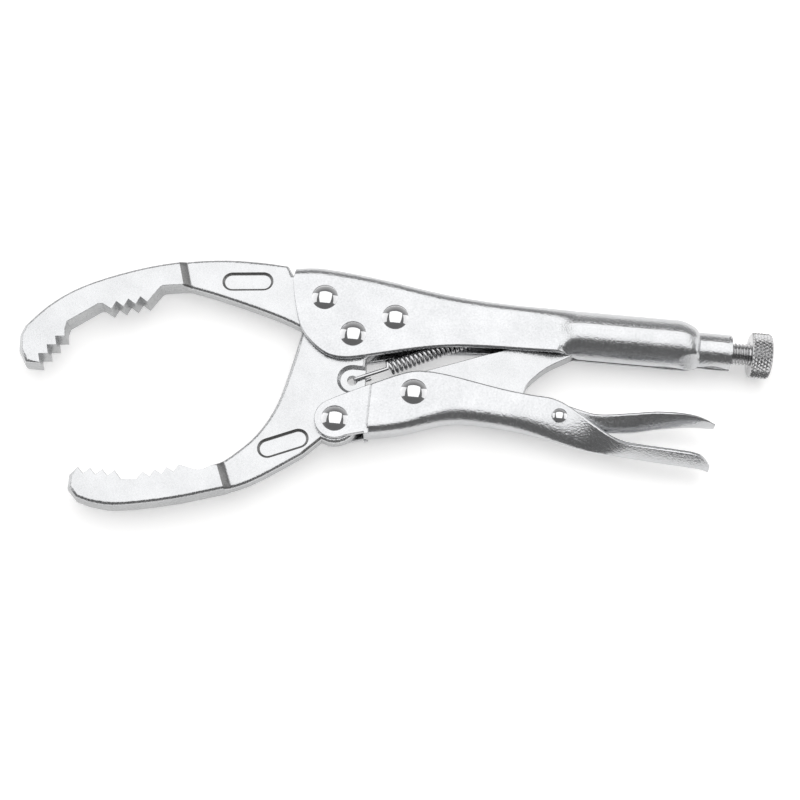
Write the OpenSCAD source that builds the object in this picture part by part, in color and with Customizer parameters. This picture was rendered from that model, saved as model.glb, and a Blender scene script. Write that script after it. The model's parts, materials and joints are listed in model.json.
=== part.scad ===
// Locking grip pliers with two long curved jaws, lying flat and locked shut.
// +X runs from the jaws to the adjusting knob, +Y to the fixed handle, +Z up.
// The origin is below the middle of the tool, on the surface that it lies on.

/* [Tool] */
// Height of the middle plane above the surface that the tool lies on
mid_z = 9.3; // [9.3:0.1:11]
// Side play of a moving piece between two walls
side_play = 0.2; // [0.1:0.05:0.4]
// Radial play of a moving piece on its rivet
pivot_play = 0.05; // [0.02:0.01:0.08]

/* [Jaws] */
// Thickness of the riveted jaw, which is also the gap between the fixed handle's walls
jaw_t = 6.2; // [5.6:0.1:6.6]
// Depth of the fixed jaw's teeth
fixed_tooth_depth = 2.6; // [1.5:0.1:3]
// Depth of the moving jaw's teeth
moving_tooth_depth = 2.2; // [1:0.1:2.6]
// Depth of the plain stadium-shaped recess in each jaw's face
recess_depth = 0.4; // [0.2:0.1:0.8]
// Length of that recess
recess_l = 18.6; // [14:0.2:20]
// Width of that recess
recess_w = 7.2; // [5:0.2:8]
// Thickness of the toothed end of each jaw
tip_t = 8.4; // [6.2:0.1:9]
// Width of the ramp between a jaw's arm and its thicker toothed end
ramp_w = 2.6; // [1:0.1:4]
// Depth of the relief around the spring hole
relief_depth = 1.4; // [0.8:0.1:1.8]

/* [Handles] */
// Sheet thickness of the fixed handle
fixed_wall = 2.3; // [1.8:0.1:2.6]
// Sheet thickness of the lower handle
lower_wall = 2; // [1.6:0.1:2.2]
// Step of the lower handle's walls, outwards, behind its ears
joggle = 0.5; // [0.3:0.1:0.8]
// Outer diameter of the tube that the fixed handle closes into
tube_d = 18.6; // [17:0.2:18.6]
// Outer diameter of the threaded collar
collar_d = 13.4; // [11:0.2:15]

/* [Adjusting screw] */
// Thread diameter
thread_d = 8; // [7:0.5:9]
// Knob diameter
knob_d = 16.6; // [14:0.2:18]
// Knob length
knob_l = 7.6; // [6:0.2:9]

/* [Rivets] */
// Head diameter of the large rivets
head_d = 9.5; // [8:0.1:10.5]
// Head height of the large rivets
head_h = 2; // [1.2:0.1:2.4]
// Shank diameter of the large rivets
shank_d = 6; // [5:0.2:6.4]
// Head diameter of the lever's rivet
small_head_d = 5.2; // [4:0.1:6]
// Head height of the lever's rivet
small_head_h = 1.2; // [0.8:0.1:1.6]
// Shank diameter of the lever's rivet
small_shank_d = 3; // [2.4:0.1:3.4]

/* [Spring] */
// Outer diameter of the coil
coil_d = 5.9; // [5:0.1:5.9]
// Wire diameter
wire_d = 1.1; // [0.8:0.1:1.2]
// Length of the coiled stretch
coil_l = 42; // [36:1:44]

/* [Release lever] */
// Sheet thickness of the lever
lever_wall = 1.5; // [1.2:0.1:1.8]
// Half width of the lever inside the lower handle
lever_half_w = 3.3; // [2.8:0.1:3.4]
// Half width of the lever's thumb trough
trough_half_w = 5.3; // [4.6:0.1:5.6]

/* [Hidden] */
$fn = 64;
eps = 0.01;

// Rivet places
front_rivet_at = [-27.4, 35.5];
rear_rivet_at = [-1.1, 30.1];
jaw_pivot_at = [-15.7, 22.2];
handle_pivot_at = [-18.7, -10.6];
link_pivot_at = [8.2, 1.9];
lever_pivot_at = [60.5, -2.1];

// Half widths of the two channels, inside and outside
fixed_in = jaw_t / 2;
fixed_out = fixed_in + fixed_wall;
ear_in = jaw_t / 2;
ear_out = ear_in + lower_wall;
lower_in = ear_in + joggle;
lower_out = ear_out + joggle;
moving_t = jaw_t - 2 * side_play;

// Jaw bosses around the pivots
pivot_boss_r = 10.4;
boss_gap = 0.6;
rear_boss_r = 8;
handle_boss_r = 8.8;
ear_r = 7.3;

// Tube, shoulder, collar and screw, along X
tube_y = 31;
screw_y = 29.8;
flare_x = 58;
tube_x = 64;
shoulder_x = 101;
collar_x = 109;
collar_end_x = 120.7;
knob_x = 127.6;
screw_tip_x = 77.5;
slot_end_x = 73;
tube_wall = 2;

// Toggle link: nose centre and radii of its two ends
nose_at = [72, 29.2];
nose_r = 4.4;
link_boss_r = 7.5;
link_t = jaw_t - side_play;

// Spring: hole in the moving jaw, start of the coil, tab in the fixed handle
spring_hole_at = [-14.2, 5.5];
spring_hole_r = 1.85;
relief_r = 5.2;
coil_at = [-0.8, 12.6];
tab_at = [43.5, 35];
tab_hole_r = 1.3;
tab_t = 1.4;
tab_l = 6;
tab_drop = 2.6;
coil_angle = atan2(tab_at.y - coil_at.y, tab_at.x - coil_at.x);
coil_end = tab_at - [7, 3.5];
hook_at = spring_hole_at + [1, 0.5];
hook_tail = [4.4, 0.6];
hook_z = 2.15;
bend_d = wire_d * 1.04;

// Points of an arc, in degrees
function arc(centre, radius, from, to, steps) =
    [for (i = [0 : steps])
        let (a = from + (to - from) * i / steps)
        centre + radius * [cos(a), sin(a)]];

// Smooth curve through hand-placed points
function smooth(p, steps = 4) =
    let (last = len(p) - 1)
    concat(
        [for (i = [0 : last - 1], k = [0 : steps - 1])
            let (a = p[max(i - 1, 0)],
                 b = p[i],
                 c = p[i + 1],
                 d = p[min(i + 2, last)],
                 t = k / steps)
            (2 * b + (c - a) * t + (2 * a - 5 * b + 4 * c - d) * t * t
             + (3 * b - a - 3 * c + d) * t * t * t) / 2],
        [p[last]]);

// Row of V teeth from tip to tip, with the valleys on the left of the way
function teeth(from, to, count, depth) =
    let (pitch = (to - from) / count,
         side = [-pitch.y, pitch.x] / norm(pitch))
    concat(
        [for (i = [0 : count - 1], half = [0 : 1])
            from + pitch * (i + half / 2) + side * depth * half],
        [to]);

function reversed(p) = [for (i = [len(p) - 1 : -1 : 0]) p[i]];
function shifted(p, by) = [for (q = p) q + by];

// Outlines of the two jaws
fixed_jaw_outline = concat(
    [[-136.1, 11], [-135.4, 5], [-132, -0.2]],
    teeth([-126.2, 0.5], [-118.9, 11.4], 3, fixed_tooth_depth),
    [[-119.6, 14.8], [-119.2, 17.3], [-109.3, 25.2], [-107.8, 25.4]],
    teeth([-104.1, 23.4], [-91.5, 27.4], 3, fixed_tooth_depth),
    [[-91.1, 28.2], [-87.7, 34], [-86.8, 34.7], [-80.4, 35.8]],
    smooth([[-77.8, 35.2], [-69.3, 33.6], [-53.7, 29.7], [-42, 26.2], [-35.3, 23.6]], 3),
    arc(jaw_pivot_at, pivot_boss_r + boss_gap, 171, 25, 14),
    arc(rear_rivet_at, rear_boss_r, -70, 30, 8),
    [[4, 41.3], [-20, 44.8], [-40.1, 44.8], [-41, 46.4]],
    smooth([[-42.2, 48.3], [-52, 48.9], [-65, 48.6], [-78.7, 46.7], [-93.5, 42.8], [-108.6, 36.8],
            [-119.8, 30.6], [-128.2, 23.4], [-134.9, 15]], 3));

moving_jaw_outline = concat(
    smooth([[-34.6, 22.7], [-36.8, 9.5], [-40.3, -6.2], [-46, -18], [-54.2, -27.1],
            [-61.3, -32.4], [-64.8, -33.6], [-68.4, -33]], 4),
    teeth([-71.5, -32.4], [-83.6, -36.2], 3, moving_tooth_depth),
    [[-85.4, -39.2], [-90.6, -39.7]],
    teeth([-93.4, -36.6], [-106.4, -36.6], 3, moving_tooth_depth),
    [[-109.5, -39.6], [-109.3, -44.8], [-105.6, -48.5]],
    smooth([[-101, -49.7], [-92, -50.2], [-76, -47.1], [-61.4, -42.8], [-46.2, -37],
            [-28.4, -24.6]], 4),
    arc(handle_pivot_at, handle_boss_r, -116, 0, 8),
    [[-9.6, -6], [-9.3, 3.8]],
    arc(jaw_pivot_at, pivot_boss_r, -55, 176, 20),
    [[-27, 22.9]]);

// Upper and lower edges of the fixed handle's walls
fixed_top = smooth([[-39.5, 47.4], [-31, 48.4], [-19, 47.6], [-5.7, 45.9], [15.5, 42.5],
                    [36.3, 40.8], [tube_x, 40.3]]);
fixed_bottom = smooth([[-39.7, 42.3], [-38.9, 37], [-37.2, 30], [-34.6, 22.8], [-30.3, 17.6],
                       [-24.3, 13.5], [-18, 12.6], [-11.2, 13.9], [1.9, 17.3], [15.7, 20.3],
                       [28, 21.6], [45, 22.1], [tube_x, 21.7]], 3);

// Upper and lower edges of the lower handle's walls
lower_top = smooth([[-22.3, -4.2], [-16.1, -0.8], [-4.3, 5.1], [5.3, 9.4], [11.8, 10.4],
                    [21, 9.6], [38.7, 6.4], [50, 5], [57.1, 4.5], [62.5, 2.5], [68.3, -1.1],
                    [78.6, -8.1], [83.3, -10.2], [88, -11], [107.1, -11.9], [112.2, -13.3],
                    [114.7, -15.8]], 3);
lower_bottom = smooth([[-8, -15.4], [5.4, -12.6], [16.1, -9], [25.7, -6.9], [40.2, -7.4],
                       [50.7, -8.7], [61.4, -10.8], [72, -12.9], [82.5, -14.1], [93, -14.9],
                       [108.7, -15.8], [114.6, -16.4]], 3);
lower_front_x = -8;
ear_end_x = -7;
ear_bottom = [[-8.2, -14.7], [-13.9, -16.4]];

// Upper edge and back of the release lever
lever_top = smooth([[47.2, 1.6], [51, 3.2], [60.5, 3.4], [68.4, 1.4], [73.1, 0.2], [78.4, 0.2],
                    [86.1, 1.2], [93.9, 2.4], [101.7, 2.8], [109.5, 2.3], [116.2, 0.8]], 3);
lever_back = smooth([[46.8, 0], [53, -4.6], [60.5, -6.4], [68, -6], [74, -5.4], [81.4, -4.8],
                     [89, -4.1], [96.8, -2.9], [104.5, -1.5], [112, 0], [116.4, 0.4]], 3);
trough_x = 79;

steel = [0.8, 0.81, 0.83];
bright = [0.87, 0.88, 0.9];

// Flat slab of a given outline, between two heights from the middle plane
module slab(outline, low, high)
    translate([0, 0, mid_z + low]) linear_extrude(high - low) polygon(outline);

// Upright round hole or pin, between two heights from the middle plane
module post(at, radius, low, high)
    translate([at.x, at.y, mid_z + low]) cylinder(h = high - low, r = radius);

// Round bar along X
module bar(from, to, y, r_from, r_to)
    translate([from, y, mid_z]) rotate([0, 90, 0]) cylinder(h = to - from, r1 = r_from, r2 = r_to);

// Straight wire between two points
module wire(from, to)
    let (way = to - from)
    translate(from)
        rotate([0, acos(way.z / norm(way)), atan2(way.y, way.x)])
            cylinder(h = norm(way), d = wire_d, $fn = 24);

// Flat stadium shape
module stadium(length, width) {
    square([length - width, width], center = true);
    for (side = [-1, 1]) translate([side * (length - width) / 2, 0]) circle(d = width);
}

// Plain recess on both faces of a jaw's arm
module jaw_recesses(at, angle, thickness)
    for (side = [-1, 1])
        translate([at.x, at.y, mid_z + side * thickness / 2])
            rotate([0, 0, angle])
                linear_extrude(2 * recess_depth, center = true) stadium(recess_l, recess_w);

// Jaw of a given outline: an arm, and past a ramp a thicker toothed end
module jaw_plate(outline, ramp_at, ramp_angle, thickness)
    intersection() {
        slab(outline, -tip_t / 2, tip_t / 2);
        translate([ramp_at.x, ramp_at.y, mid_z])
            rotate([90, 0, ramp_angle])
                linear_extrude(400, center = true)
                    polygon([[-200, -tip_t / 2], [-ramp_w / 2, -tip_t / 2],
                             [ramp_w / 2, -thickness / 2], [200, -thickness / 2],
                             [200, thickness / 2], [ramp_w / 2, thickness / 2],
                             [-ramp_w / 2, tip_t / 2], [-200, tip_t / 2]]);
    }

// Rivet with a low domed head on each side of walls that reach out to half_w
module rivet(at, half_w, shank, head, height) {
    dome_r = (head * head / 4 + height * height) / (2 * height);
    post(at, shank / 2, -half_w - eps, half_w + eps);
    for (side = [0, 1])
        translate([at.x, at.y, mid_z]) mirror([0, 0, side]) translate([0, 0, half_w])
            intersection() {
                translate([0, 0, height - dome_r]) sphere(dome_r);
                cylinder(h = height + 1, d = head + 1);
            }
}

module fixed_handle() color(steel)
    difference() {
        union() {
            slab(concat(fixed_top, reversed(fixed_bottom)), -fixed_out, fixed_out);
            bar(flare_x, tube_x, tube_y, fixed_out, tube_d / 2);
            bar(tube_x, shoulder_x, tube_y, tube_d / 2, tube_d / 2);
            bar(shoulder_x, collar_x, tube_y, tube_d / 2, collar_d / 2);
            bar(collar_x - 1, collar_end_x, screw_y, collar_d / 2, collar_d / 2);
        }
        difference() {
            slab(concat(shifted(fixed_top, [0, -fixed_wall]),
                        [[slot_end_x, tube_y], [slot_end_x, 10], [-50, 0], [-50, 45.1]]),
                 -fixed_in, fixed_in);
            spring_tab();
        }
        bar(flare_x, tube_x, tube_y, fixed_in, tube_d / 2 - tube_wall);
        bar(tube_x - eps, shoulder_x, tube_y, tube_d / 2 - tube_wall, tube_d / 2 - tube_wall);
        bar(shoulder_x - eps, collar_x - 2, tube_y, tube_d / 2 - tube_wall, thread_d / 2 + 0.5);
        bar(collar_x - 4, collar_end_x + 1, screw_y, thread_d / 2 + pivot_play,
            thread_d / 2 + pivot_play);
        for (at = [front_rivet_at, rear_rivet_at, jaw_pivot_at])
            post(at, shank_d / 2, -fixed_out - 1, fixed_out + 1);
    }

// Tab bent down from the fixed handle's top wall, with the hole for the spring
module spring_tab()
    difference() {
        translate([tab_at.x - tab_l / 2, tab_at.y - tab_drop, mid_z - tab_t / 2])
            cube([tab_l, tab_l + tab_drop, tab_t]);
        post(tab_at, tab_hole_r, -tab_t, tab_t);
    }

module fixed_jaw() color(bright)
    difference() {
        jaw_plate(fixed_jaw_outline, [-79.7, 40.8], 17.5, jaw_t);
        jaw_recesses([-56.4, 40], 6, jaw_t);
        for (at = [front_rivet_at, rear_rivet_at])
            post(at, shank_d / 2, -jaw_t, jaw_t);
    }

module moving_jaw() color(bright)
    difference() {
        jaw_plate(moving_jaw_outline, [-55.2, -34.9], 22.5, moving_t);
        jaw_recesses([-36, -21], 24, moving_t);
        for (at = [jaw_pivot_at, handle_pivot_at])
            post(at, shank_d / 2 + pivot_play, -jaw_t, jaw_t);
        post(spring_hole_at, spring_hole_r, -jaw_t, jaw_t);
        for (side = [-1, 1])
            translate([spring_hole_at.x, spring_hole_at.y, mid_z + side * moving_t / 2]) {
                cylinder(h = 2 * relief_depth, r = relief_r, center = true);
                translate([0, -relief_r, -relief_depth])
                    cube([relief_r + 2, 2 * relief_r, 2 * relief_depth]);
            }
    }

// Ears of the lower handle, ahead of the step in its walls
module ears()
    for (side = [0, 1])
        translate([0, 0, mid_z]) mirror([0, 0, side]) translate([0, 0, ear_in])
            linear_extrude(lower_wall) {
                circle_at_ear();
                polygon(concat([for (p = lower_top) if (p.x < ear_end_x) p],
                               [[ear_end_x, 3.7], [ear_end_x, -14.2]],
                               ear_bottom,
                               [handle_pivot_at + [0, -ear_r], handle_pivot_at]));
            }

module circle_at_ear()
    translate(handle_pivot_at) circle(ear_r);

module lower_handle() color(steel)
    difference() {
        union() {
            ears();
            difference() {
                slab(concat([[lower_front_x, 3.2]],
                            [for (p = lower_top) if (p.x > lower_front_x) p],
                            reversed(lower_bottom)),
                     -lower_out, lower_out);
                slab(concat([[lower_front_x - 1, lower_bottom[0].y + lower_wall]],
                            shifted(lower_bottom, [0, lower_wall]),
                            [[130, 20], [lower_front_x - 1, 20]]),
                     -lower_in, lower_in);
            }
        }
        for (at = [handle_pivot_at, link_pivot_at])
            post(at, shank_d / 2, -lower_out - 1, lower_out + 1);
        post(lever_pivot_at, small_shank_d / 2, -lower_out - 1, lower_out + 1);
    }

module toggle_link() color(bright) {
    outline = concat(
        arc(link_pivot_at, link_boss_r, 292, 112, 14),
        [[30.5, 18.8]],
        arc(nose_at, nose_r, 112, -60, 12),
        smooth([[67.5, 24.7], [62.6, 21.4], [54.9, 16.6], [48.6, 9.9], [47, 5.4], [42.5, 0.6],
                [33, -2.4]], 3));
    difference() {
        slab(outline, -link_t / 2, link_t / 2);
        post(link_pivot_at, shank_d / 2 + pivot_play, -jaw_t, jaw_t);
    }
}

// Stretch of the release lever's outline, between two places along X
module lever_stretch(from, to, half_w)
    intersection() {
        slab(concat(lever_top, reversed(lever_back)), -half_w, half_w);
        translate([from, -50, 0]) cube([to - from, 100, 50]);
    }

// Room inside the release lever, open towards the fixed handle
module lever_room(from, to, half_w)
    intersection() {
        slab(concat(shifted(lever_back, [0, lever_wall]), [[130, 20], [40, 20]]), -half_w, half_w);
        translate([from, -50, 0]) cube([to - from, 100, 50]);
    }

module release_lever() color(steel)
    difference() {
        union() {
            lever_stretch(0, trough_x + 1, lever_half_w);
            lever_stretch(trough_x, 200, trough_half_w);
        }
        lever_room(0, trough_x + 2, lever_half_w - lever_wall);
        lever_room(trough_x + 1.5, 200, trough_half_w - lever_wall);
        post(lever_pivot_at, small_shank_d / 2 + pivot_play, -lower_out, lower_out);
    }

module adjusting_screw() color(bright)
    bar(screw_tip_x, knob_x + knob_l - 1.6, screw_y, thread_d / 2, thread_d / 2);

module adjusting_knob() color(steel)
    difference() {
        bar(knob_x, knob_x + knob_l, screw_y, knob_d / 2, knob_d / 2);
        bar(knob_x - 1, knob_x + knob_l - 1.5, screw_y, thread_d / 2 + pivot_play,
            thread_d / 2 + pivot_play);
    }

// Wire that goes through a hole along Z, from one hook height to the other, with round bends
module hook_wire(at, low) {
    wire([at.x, at.y, mid_z + hook_z], [at.x, at.y, mid_z + low]);
    for (z = [hook_z, low]) translate([at.x, at.y, mid_z + z]) sphere(d = bend_d);
}

// Coil as the tube that its turns fill, with the hook wires at its two ends
module spring() color(steel) {
    translate([coil_at.x, coil_at.y, mid_z]) rotate([0, 90, coil_angle])
        difference() {
            cylinder(h = coil_l, d = coil_d);
            translate([0, 0, -1]) cylinder(h = coil_l + 2, d = coil_d - 2 * wire_d);
        }
    wire([coil_at.x + 1, coil_at.y + 0.4, mid_z + hook_z], [hook_at.x, hook_at.y, mid_z + hook_z]);
    hook_wire(hook_at, -hook_z);
    wire([hook_at.x, hook_at.y, mid_z - hook_z],
         [hook_at.x + hook_tail.x, hook_at.y + hook_tail.y, mid_z - hook_z]);
    wire([coil_end.x, coil_end.y, mid_z + hook_z], [tab_at.x, tab_at.y, mid_z + hook_z]);
    hook_wire(tab_at, -hook_z);
}

module fixed_jaw_front_rivet() color(bright)
    rivet(front_rivet_at, fixed_out, shank_d, head_d, head_h);

module fixed_jaw_rear_rivet() color(bright)
    rivet(rear_rivet_at, fixed_out, shank_d, head_d, head_h);

module jaw_pivot_rivet() color(bright)
    rivet(jaw_pivot_at, fixed_out, shank_d, head_d, head_h);

module handle_pivot_rivet() color(bright)
    rivet(handle_pivot_at, ear_out, shank_d, head_d, head_h);

module link_pivot_rivet() color(bright)
    rivet(link_pivot_at, lower_out, shank_d, head_d, head_h);

module lever_pivot_rivet() color(bright)
    rivet(lever_pivot_at, lower_out, small_shank_d, small_head_d, small_head_h);

fixed_handle();
fixed_jaw();
moving_jaw();
lower_handle();
toggle_link();
release_lever();
adjusting_screw();
adjusting_knob();
spring();
fixed_jaw_front_rivet();
fixed_jaw_rear_rivet();
jaw_pivot_rivet();
handle_pivot_rivet();
link_pivot_rivet();
lever_pivot_rivet();
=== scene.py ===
"""Locking pliers with long toothed jaws: meshes, materials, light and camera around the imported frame.

Meshes are worked out in millimetres, in the CAD model's frame, and scaled to metres when they are made.
"""

import json
import math

import bmesh
import bpy
import numpy as np
from mathutils import Matrix, Vector
from mathutils.geometry import tessellate_polygon

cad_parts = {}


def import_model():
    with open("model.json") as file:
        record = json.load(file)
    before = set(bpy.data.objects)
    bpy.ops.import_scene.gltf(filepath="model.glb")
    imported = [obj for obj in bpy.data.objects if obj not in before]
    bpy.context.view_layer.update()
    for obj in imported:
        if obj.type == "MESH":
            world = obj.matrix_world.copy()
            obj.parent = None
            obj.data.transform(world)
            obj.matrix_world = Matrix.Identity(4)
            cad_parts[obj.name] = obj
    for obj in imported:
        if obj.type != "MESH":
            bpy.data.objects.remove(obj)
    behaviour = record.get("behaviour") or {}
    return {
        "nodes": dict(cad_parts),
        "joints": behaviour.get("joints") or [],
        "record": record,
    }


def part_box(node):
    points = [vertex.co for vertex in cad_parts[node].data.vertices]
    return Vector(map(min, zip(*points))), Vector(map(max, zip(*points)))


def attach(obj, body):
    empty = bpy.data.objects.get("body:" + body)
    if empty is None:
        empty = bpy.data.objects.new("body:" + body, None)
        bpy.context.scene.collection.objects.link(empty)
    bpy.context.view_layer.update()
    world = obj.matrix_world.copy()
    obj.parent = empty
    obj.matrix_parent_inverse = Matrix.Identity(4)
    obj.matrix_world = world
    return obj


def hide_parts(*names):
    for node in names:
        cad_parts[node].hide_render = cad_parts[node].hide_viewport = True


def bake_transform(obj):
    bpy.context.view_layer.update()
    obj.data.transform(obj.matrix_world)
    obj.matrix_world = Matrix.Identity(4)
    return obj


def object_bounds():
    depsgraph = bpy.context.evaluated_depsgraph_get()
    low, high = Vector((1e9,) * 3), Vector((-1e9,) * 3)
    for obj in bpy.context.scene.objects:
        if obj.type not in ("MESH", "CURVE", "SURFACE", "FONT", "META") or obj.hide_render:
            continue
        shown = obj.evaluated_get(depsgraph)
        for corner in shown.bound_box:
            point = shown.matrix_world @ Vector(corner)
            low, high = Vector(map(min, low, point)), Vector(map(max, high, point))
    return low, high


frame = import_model()
cad_low, cad_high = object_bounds()

MM = 0.001
TURN = 2 * math.pi
QUARTER = math.pi / 2

# ---------------------------------------------------------------- places, all from the frame


def corners(node):
    """Lowest and highest corner of a CAD node, in millimetres."""
    low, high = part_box(node)
    return np.array(low) / MM, np.array(high) / MM


def pivot(name):
    """A joint's place, in millimetres."""
    joint = next(j for j in frame["joints"] if j["name"] == name)
    return np.array(joint["pos_m"]) / MM


def mount(name):
    """Place in millimetres and sizes of one of the record's mounts."""
    found = next(m for m in frame["record"]["mounts"] if m["name"] == name)
    return np.array(found["pos_m"]) / MM, found["dims"]


MID = pivot("jaw_pivot")[2]
TUBE_AT, TUBE_DIMS = mount("handle_tube")
TUBE_R = TUBE_DIMS["r_mm"]
TUBE_START = TUBE_AT[0] - TUBE_DIMS["length_mm"] / 2
HANDLE_END = corners("fixed_handle")[1][0]
SCREW_LOW, SCREW_HIGH = corners("adjusting_screw")
KNOB_LOW, KNOB_HIGH = corners("adjusting_knob")
SCREW_Y = pivot("knob_spin")[1]


def cad_mesh(node):
    """A CAD node's mesh in millimetres, its split vertices joined and its flat faces whole."""
    bm = bmesh.new()
    bm.from_mesh(frame["nodes"][node].data)
    bmesh.ops.scale(bm, vec=(1 / MM,) * 3, verts=bm.verts)
    bmesh.ops.remove_doubles(bm, verts=bm.verts, dist=0.002)
    return bm


def area(loop):
    """Signed area of a flat loop, above 0 when it runs anticlockwise."""
    x, y = loop[:, 0], loop[:, 1]
    return float(np.sum(x * np.roll(y, -1) - y * np.roll(x, -1)) / 2)


def without_straight_points(loop):
    """The loop without the points that lie on a straight stretch, or on each other."""
    kept = []
    for i, here in enumerate(loop):
        before = here - (kept[-1] if kept else loop[i - 1])
        after = loop[(i + 1) % len(loop)] - here
        if np.hypot(*before) < 0.01:
            continue
        turn = before[0] * after[1] - before[1] * after[0]
        if abs(turn) > 0.002 * np.hypot(*before) * np.hypot(*after):
            kept.append(here)
    return np.array(kept)


def section(node, height):
    """Loops where a CAD node is cut at a height: the outline anticlockwise, then its holes clockwise."""
    bm = cad_mesh(node)
    parts = bm.verts[:] + bm.edges[:] + bm.faces[:]
    cut = bmesh.ops.bisect_plane(bm, geom=parts, dist=1e-4, plane_co=(0, 0, height), plane_no=(0, 0, 1))
    bm.edges.index_update()
    left = {e.index: e for e in cut["geom_cut"] if isinstance(e, bmesh.types.BMEdge)}
    loops = []
    while left:
        edge = left.pop(min(left))
        start, here = edge.verts
        loop = [start.co.xy[:]]
        while here is not start:
            loop.append(here.co.xy[:])
            edge = next(e for e in here.link_edges if e.index in left)
            del left[edge.index]
            here = edge.other_vert(here)
        loops.append(without_straight_points(np.array(loop)))
    bm.free()
    loops.sort(key=lambda p: -abs(area(p)))
    return [p if (area(p) > 0) == (i == 0) else p[::-1] for i, p in enumerate(loops)]


def left_of(loop, x):
    """The part of an outline at lower x than given."""
    points = []
    for a, b in zip(loop, np.roll(loop, -1, axis=0)):
        if a[0] <= x:
            points.append(a)
        if (a[0] - x) * (b[0] - x) < 0:
            points.append(a + (b - a) * (x - a[0]) / (b[0] - a[0]))
    return without_straight_points(np.array(points))


def edges_at(loop, x):
    """Lowest and highest y of an outline at x."""
    a, b = loop, np.roll(loop, -1, axis=0)
    crosses = (np.minimum(a[:, 0], b[:, 0]) <= x) & (np.maximum(a[:, 0], b[:, 0]) >= x)
    a, b = a[crosses], b[crosses]
    run = np.where(np.abs(b[:, 0] - a[:, 0]) < 1e-9, 1.0, b[:, 0] - a[:, 0])
    y = a[:, 1] + (b[:, 1] - a[:, 1]) * np.clip((x - a[:, 0]) / run, 0, 1)
    return y.min(), y.max()


# ---------------------------------------------------------------- mesh tools


def step(x, low, high):
    """0 below low, 1 above high, and a smooth rise between them."""
    t = min(max((x - low) / (high - low), 0.0), 1.0)
    return t * t * (3 - 2 * t)


def inset(loop, distance, share=1.0):
    """The loop moved sideways into the material on its left; share scales the way of each point."""
    before = loop - np.roll(loop, 1, axis=0)
    after = np.roll(loop, -1, axis=0) - loop
    n0 = np.stack([-before[:, 1], before[:, 0]], 1) / np.hypot(before[:, 0], before[:, 1])[:, None]
    n1 = np.stack([-after[:, 1], after[:, 0]], 1) / np.hypot(after[:, 0], after[:, 1])[:, None]
    mitre = (n0 + n1) / np.maximum(1 + (n0 * n1).sum(1), 0.35)[:, None]
    return loop + distance * np.reshape(share, (-1, 1)) * mitre


def plate(loops, profile, shares=None):
    """Solid between two flat faces; profile lists (inset, height) from the lower face to the upper."""
    shares = shares or [1.0] * len(loops)
    bm = bmesh.new()
    rows = []
    for side, height in profile:
        row = []
        for loop, share in zip(loops, shares):
            row.append([bm.verts.new((x, y, height)) for x, y in inset(loop, side, share)])
        rows.append(row)
    for lower, upper in zip(rows, rows[1:]):
        for a, b in zip(lower, upper):
            for i in range(len(a)):
                j = (i + 1) % len(a)
                bm.faces.new((a[i], a[j], b[j], b[i]))
    for row in (rows[0], rows[-1]):
        flat = [v for loop in row for v in loop]
        for triangle in tessellate_polygon([[v.co for v in loop] for loop in row]):
            bm.faces.new([flat[i] for i in triangle])
    bmesh.ops.recalc_face_normals(bm, faces=bm.faces)
    return bm


def rounded(half_t, radius, draft=0.0, parting=0.0, steps=5):
    """Plate profile about the middle plane: round edges, walls that lean in by draft, a parting line."""
    upper = [(0.0, parting / 2)] if parting else []
    if draft:
        upper.append((0.12 * min(1.0, draft), parting / 2 + 0.05))
    for k in range(steps + 1):
        a = QUARTER * k / steps
        upper.append((draft + radius * (1 - math.cos(a)), half_t - radius * (1 - math.sin(a))))
    lower = [(side, -height) for side, height in reversed(upper)]
    return [(side, MID + height) for side, height in lower + upper]


def grid(rows, closed=False):
    """Sheet through rows of points; closed joins each row's last point to its first."""
    bm = bmesh.new()
    verts = [[bm.verts.new(p) for p in row] for row in rows]
    for a, b in zip(verts, verts[1:]):
        for i in range(len(a) if closed else len(a) - 1):
            j = (i + 1) % len(a)
            bm.faces.new((a[i], b[i], b[j], a[j]))
    return bm


def capped(rows):
    """Closed solid through closed rows, with a flat cap at each end."""
    bm = grid(rows, closed=True)
    bm.verts.ensure_lookup_table()
    count = len(rows[0])
    bm.faces.new(bm.verts[:count])
    bm.faces.new(reversed(bm.verts[-count:]))
    bmesh.ops.recalc_face_normals(bm, faces=bm.faces)
    return bm


def tube(path, radius, sides=14):
    """Round wire along a path of points, without twist."""
    path = [Vector(p) for p in path]
    rows = []
    up = Vector((0, 0, 1))
    for i, here in enumerate(path):
        way = (path[min(i + 1, len(path) - 1)] - path[max(i - 1, 0)]).normalized()
        side = way.cross(up).normalized()
        up = side.cross(way)
        rows.append([here + radius * (side * math.cos(TURN * k / sides) + up * math.sin(TURN * k / sides))
                     for k in range(sides)])
    return capped(rows)


def smooth_path(points, steps=8):
    """Catmull-Rom curve through a few points."""
    p = [np.array(q, float) for q in points]
    path = []
    for i in range(len(p) - 1):
        a, b, c, d = p[max(i - 1, 0)], p[i], p[i + 1], p[min(i + 2, len(p) - 1)]
        for k in range(steps):
            t = k / steps
            path.append((2 * b + (c - a) * t + (2 * a - 5 * b + 4 * c - d) * t ** 2
                         + (3 * b - a - 3 * c + d) * t ** 3) / 2)
    return path + [p[-1]]


def bake(obj):
    """Makes an object's modifiers part of its mesh."""
    graph = bpy.context.evaluated_depsgraph_get()
    mesh = bpy.data.meshes.new_from_object(obj.evaluated_get(graph), depsgraph=graph)
    obj.modifiers.clear()
    obj.data = mesh


def new_object(name, bm):
    """An object in metres from a bmesh in millimetres."""
    bmesh.ops.scale(bm, vec=(MM,) * 3, verts=bm.verts)
    mesh = bpy.data.meshes.new(name)
    bm.to_mesh(mesh)
    bm.free()
    obj = bpy.data.objects.new(name, mesh)
    bpy.context.scene.collection.objects.link(obj)
    return obj


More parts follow.
